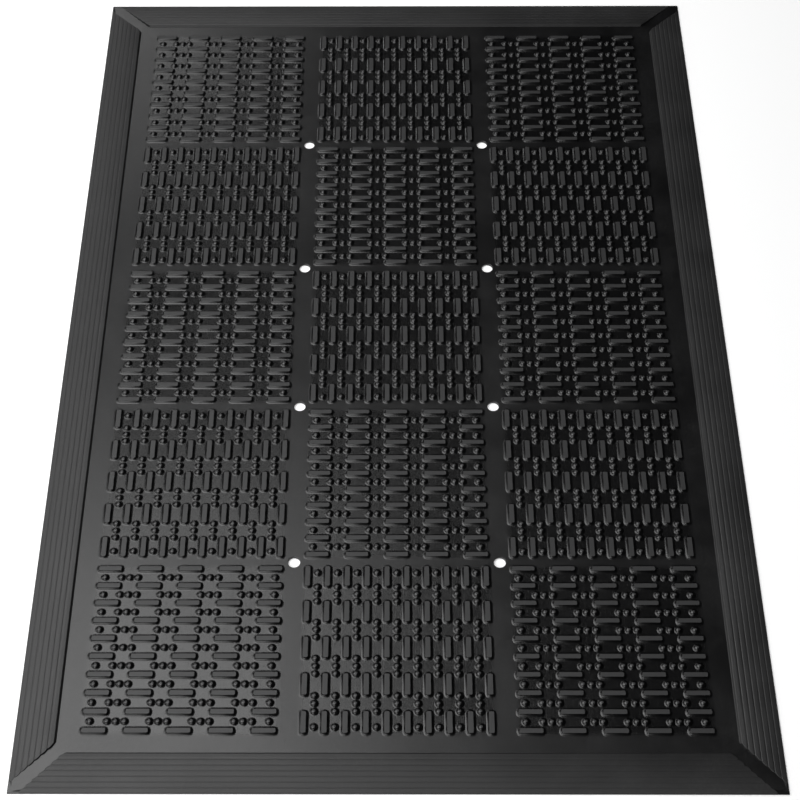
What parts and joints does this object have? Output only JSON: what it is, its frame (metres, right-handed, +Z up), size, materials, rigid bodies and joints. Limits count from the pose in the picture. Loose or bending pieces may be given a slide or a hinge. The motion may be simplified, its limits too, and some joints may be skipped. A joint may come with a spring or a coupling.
{
  "type": "rubber doormat",
  "caption": "Rectangular moulded rubber doormat with raised scraper bars and pips in a chequered layout, ribbed ramp edges and drain holes.",
  "frame": {"origin": "centre of the flat underside, on the floor that the mat lies on", "axes": "+X across the mat's width, +Y along its length, +Z up, out of the tread"},
  "size_m": [0.6, 0.9, 0.004],
  "materials": {
    "rubber": "satin"
  },
  "bodies": {
    "root": {"mat": "rubber"}
  },
  "joints": []
}
